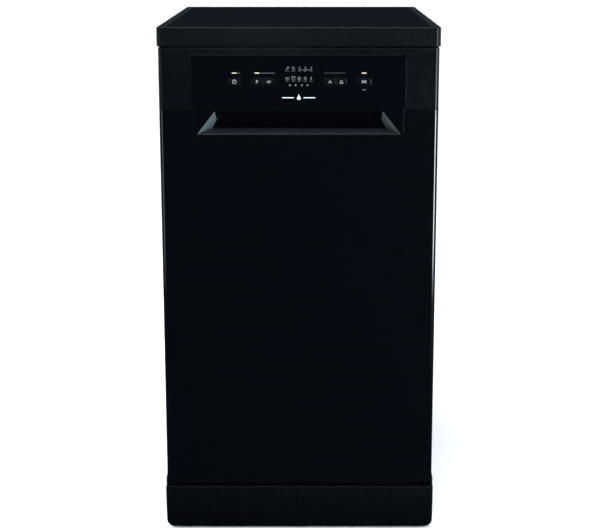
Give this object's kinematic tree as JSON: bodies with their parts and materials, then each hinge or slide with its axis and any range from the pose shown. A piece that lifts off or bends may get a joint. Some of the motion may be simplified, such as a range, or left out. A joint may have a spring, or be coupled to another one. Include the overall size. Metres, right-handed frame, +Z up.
{
  "type": "freestanding slimline dishwasher",
  "caption": "Slimline freestanding dishwasher with its own worktop, plinth and drop-down door, push-button control panel with a hand hollow, sliding racks, spray arms and filter.",
  "frame": {"origin": "middle of the footprint, on the floor", "axes": "+X to the right seen from the front, the door faces -Y, +Z up"},
  "size_m": [0.45, 0.59, 0.85],
  "materials": {
    "worktop_laminate": "satin laminate",
    "rim_plastic": "satin",
    "black_enamel": "gloss",
    "zinc_steel": "bright zinc",
    "base_plastic": "moulded",
    "kick_plastic": "satin",
    "ballast": "rough",
    "tub_steel": "satin stainless",
    "seal_rubber": "matte",
    "wash_plastic": "moulded grey",
    "filter_steel": "perforated",
    "tank_plastic": "natural",
    "pump_plastic": "moulded",
    "fascia_plastic": "satin lacquer",
    "insert_gloss": "high gloss",
    "button_gloss": "gloss",
    "led_light": "lit, warm white",
    "board_green": "solder mask",
    "rack_coating": "nylon coated wire",
    "basket_plastic": "moulded grey",
    "foot_plastic": "moulded"
  },
  "bodies": {
    "cabinet": {"worktop_board": "worktop_laminate", "worktop_frame": "rim_plastic", "side_panel_left": "black_enamel", "side_panel_right": "black_enamel", "rear_panel": "zinc_steel", "base_tray": "base_plastic", "kick_plate": "kick_plastic", "counterweight": "ballast", "front_frame": "black_enamel", "tub_shell": "tub_steel", "tub_floor": "tub_steel", "door_gasket": "seal_rubber", "sump": "wash_plastic", "filter_plate": "filter_steel", "softener_tank": "tank_plastic", "spray_duct": "wash_plastic", "wash_pump": "pump_plastic", "drain_pump": "pump_plastic", "inlet_valve": "tank_plastic", "air_break_tank": "tank_plastic", "hinge_brackets": "zinc_steel", "door_springs": "zinc_steel", "latch_strike": "zinc_steel", "mains_gland": "pump_plastic", "cabinet_screws": "zinc_steel"},
    "door": {"door_outer_panel": "black_enamel", "control_panel": "fascia_plastic", "control_insert": "insert_gloss", "door_inner_panel": "tub_steel", "hinge_arms": "zinc_steel", "door_latch": "pump_plastic", "dispenser_body": "basket_plastic", "control_board": "board_green", "indicator_lenses": "led_light", "door_screws": "zinc_steel"},
    "filter": {"filter_cylinder": "wash_plastic"},
    "salt_cap": {"salt_cap": "wash_plastic"},
    "impeller": {"pump_impeller": "tank_plastic"},
    "foot_front_left": {"foot_front_left": "foot_plastic"},
    "foot_front_right": {"foot_front_right": "foot_plastic"},
    "foot_rear_left": {"foot_rear_left": "foot_plastic"},
    "foot_rear_right": {"foot_rear_right": "foot_plastic"},
    "dispenser_lid": {"dispenser_lid": "basket_plastic"},
    "rinse_cap": {"rinse_aid_cap": "wash_plastic"},
    "power_button": {"power_button": "button_gloss"},
    "program_button": {"program_button": "button_gloss"},
    "option_button": {"option_button": "button_gloss"},
    "delay_button": {"delay_button": "button_gloss"},
    "half_load_button": {"half_load_button": "button_gloss"},
    "start_button": {"start_button": "button_gloss"},
    "lower_arm": {"lower_wash_arm": "wash_plastic"},
    "lower_rack": {"lower_rack": "rack_coating"},
    "wheels_front": {"lower_rack_wheels_front": "wash_plastic"},
    "wheels_rear": {"lower_rack_wheels_rear": "wash_plastic"},
    "cutlery_basket": {"cutlery_basket": "basket_plastic"},
    "upper_rack": {"upper_rack": "rack_coating", "upper_feed_pipe": "wash_plastic"},
    "upper_rails": {"upper_rails": "zinc_steel"},
    "upper_arm": {"upper_wash_arm": "wash_plastic"},
    "cup_shelf": {"cup_shelf": "rack_coating"}
  },
  "joints": [
    {"name": "door_hinge", "type": "hinge", "parent": "cabinet", "child": "door", "pos_m": [0, -0.285, 0.1], "axis": [1, 0, 0], "range_deg": [0, 90], "stiffness_Nm_per_rad": 9, "deforming": ["door_springs"]},
    {"name": "upper_rail_slide", "type": "slide", "parent": "cabinet", "child": "upper_rails", "axis": [0, -1, 0], "range_m": [0, 0.2005]},
    {"name": "upper_rack_slide", "type": "slide", "parent": "upper_rails", "child": "upper_rack", "axis": [0, -1, 0], "range_m": [0, 0.2005]},
    {"name": "lower_rack_slide", "type": "slide", "parent": "cabinet", "child": "lower_rack", "axis": [0, -1, 0], "range_m": [0, 0.4]},
    {"name": "lower_wheel_front_roll", "type": "hinge", "parent": "lower_rack", "child": "wheels_front", "pos_m": [0, -0.15, 0.1623], "axis": [1, 0, 0], "continuous": true},
    {"name": "lower_wheel_rear_roll", "type": "hinge", "parent": "lower_rack", "child": "wheels_rear", "pos_m": [0, 0.105, 0.1623], "axis": [1, 0, 0], "continuous": true},
    {"name": "cutlery_basket_lift", "type": "slide", "parent": "lower_rack", "child": "cutlery_basket", "axis": [0, 0, 1], "range_m": [0, 0.09]},
    {"name": "lower_arm_spin", "type": "hinge", "parent": "cabinet", "child": "lower_arm", "pos_m": [0, 0.0095, 0.1565], "axis": [0, 0, 1], "continuous": true},
    {"name": "upper_arm_spin", "type": "hinge", "parent": "upper_rack", "child": "upper_arm", "pos_m": [0, 0.0095, 0.518], "axis": [0, 0, 1], "continuous": true},
    {"name": "impeller_spin", "type": "hinge", "parent": "cabinet", "child": "impeller", "pos_m": [0.11, 0.1315, 0.078], "axis": [0, 1, 0], "continuous": true},
    {"name": "filter_twist", "type": "hinge", "parent": "cabinet", "child": "filter", "pos_m": [0.062, -0.0475, 0.12], "axis": [0, 0, 1], "range_deg": [0, 90]},
    {"name": "salt_cap_turn", "type": "hinge", "parent": "cabinet", "child": "salt_cap", "pos_m": [-0.128, -0.0905, 0.14], "axis": [0, 0, 1], "range_deg": [0, 540]},
    {"name": "cup_shelf_fold", "type": "hinge", "parent": "upper_rack", "child": "cup_shelf", "pos_m": [-0.168, -0.075, 0.6415], "axis": [0, -1, 0], "range_deg": [0, 88]},
    {"name": "dispenser_lid_hinge", "type": "hinge", "parent": "door", "child": "dispenser_lid", "pos_m": [-0.03, -0.237, 0.409], "axis": [-1, 0, 0], "range_deg": [0, 100]},
    {"name": "rinse_cap_turn", "type": "hinge", "parent": "door", "child": "rinse_cap", "pos_m": [0.042, -0.239, 0.45], "axis": [0, 1, 0], "range_deg": [0, 90]},
    {"name": "power_button_press", "type": "slide", "parent": "door", "child": "power_button", "axis": [0, 1, 0], "range_m": [0, 0.001], "stiffness_N_per_m": 300},
    {"name": "program_button_press", "type": "slide", "parent": "door", "child": "program_button", "axis": [0, 1, 0], "range_m": [0, 0.001], "stiffness_N_per_m": 300},
    {"name": "option_button_press", "type": "slide", "parent": "door", "child": "option_button", "axis": [0, 1, 0], "range_m": [0, 0.001], "stiffness_N_per_m": 300},
    {"name": "delay_button_press", "type": "slide", "parent": "door", "child": "delay_button", "axis": [0, 1, 0], "range_m": [0, 0.001], "stiffness_N_per_m": 300},
    {"name": "half_load_button_press", "type": "slide", "parent": "door", "child": "half_load_button", "axis": [0, 1, 0], "range_m": [0, 0.001], "stiffness_N_per_m": 300},
    {"name": "start_button_press", "type": "slide", "parent": "door", "child": "start_button", "axis": [0, 1, 0], "range_m": [0, 0.001], "stiffness_N_per_m": 300},
    {"name": "foot_front_left_turn", "type": "hinge", "parent": "cabinet", "child": "foot_front_left", "pos_m": [-0.19, -0.22, 0.03], "axis": [0, 0, 1], "continuous": true},
    {"name": "foot_front_right_turn", "type": "hinge", "parent": "cabinet", "child": "foot_front_right", "pos_m": [0.19, -0.22, 0.03], "axis": [0, 0, 1], "continuous": true},
    {"name": "foot_rear_left_turn", "type": "hinge", "parent": "cabinet", "child": "foot_rear_left", "pos_m": [-0.19, 0.205, 0.03], "axis": [0, 0, 1], "continuous": true},
    {"name": "foot_rear_right_turn", "type": "hinge", "parent": "cabinet", "child": "foot_rear_right", "pos_m": [0.19, 0.205, 0.03], "axis": [0, 0, 1], "continuous": true}
  ],
  "couplings": [
    {"joint": "upper_rail_slide", "follows": "door_hinge", "m_per_rad": 0.12732},
    {"joint": "upper_rack_slide", "follows": "door_hinge", "m_per_rad": 0.12732},
    {"joint": "lower_rack_slide", "follows": "door_hinge", "m_per_rad": 0.0828},
    {"joint": "lower_wheel_front_roll", "follows": "door_hinge", "ratio": 5.175},
    {"joint": "lower_wheel_rear_roll", "follows": "door_hinge", "ratio": 5.175}
  ]
}
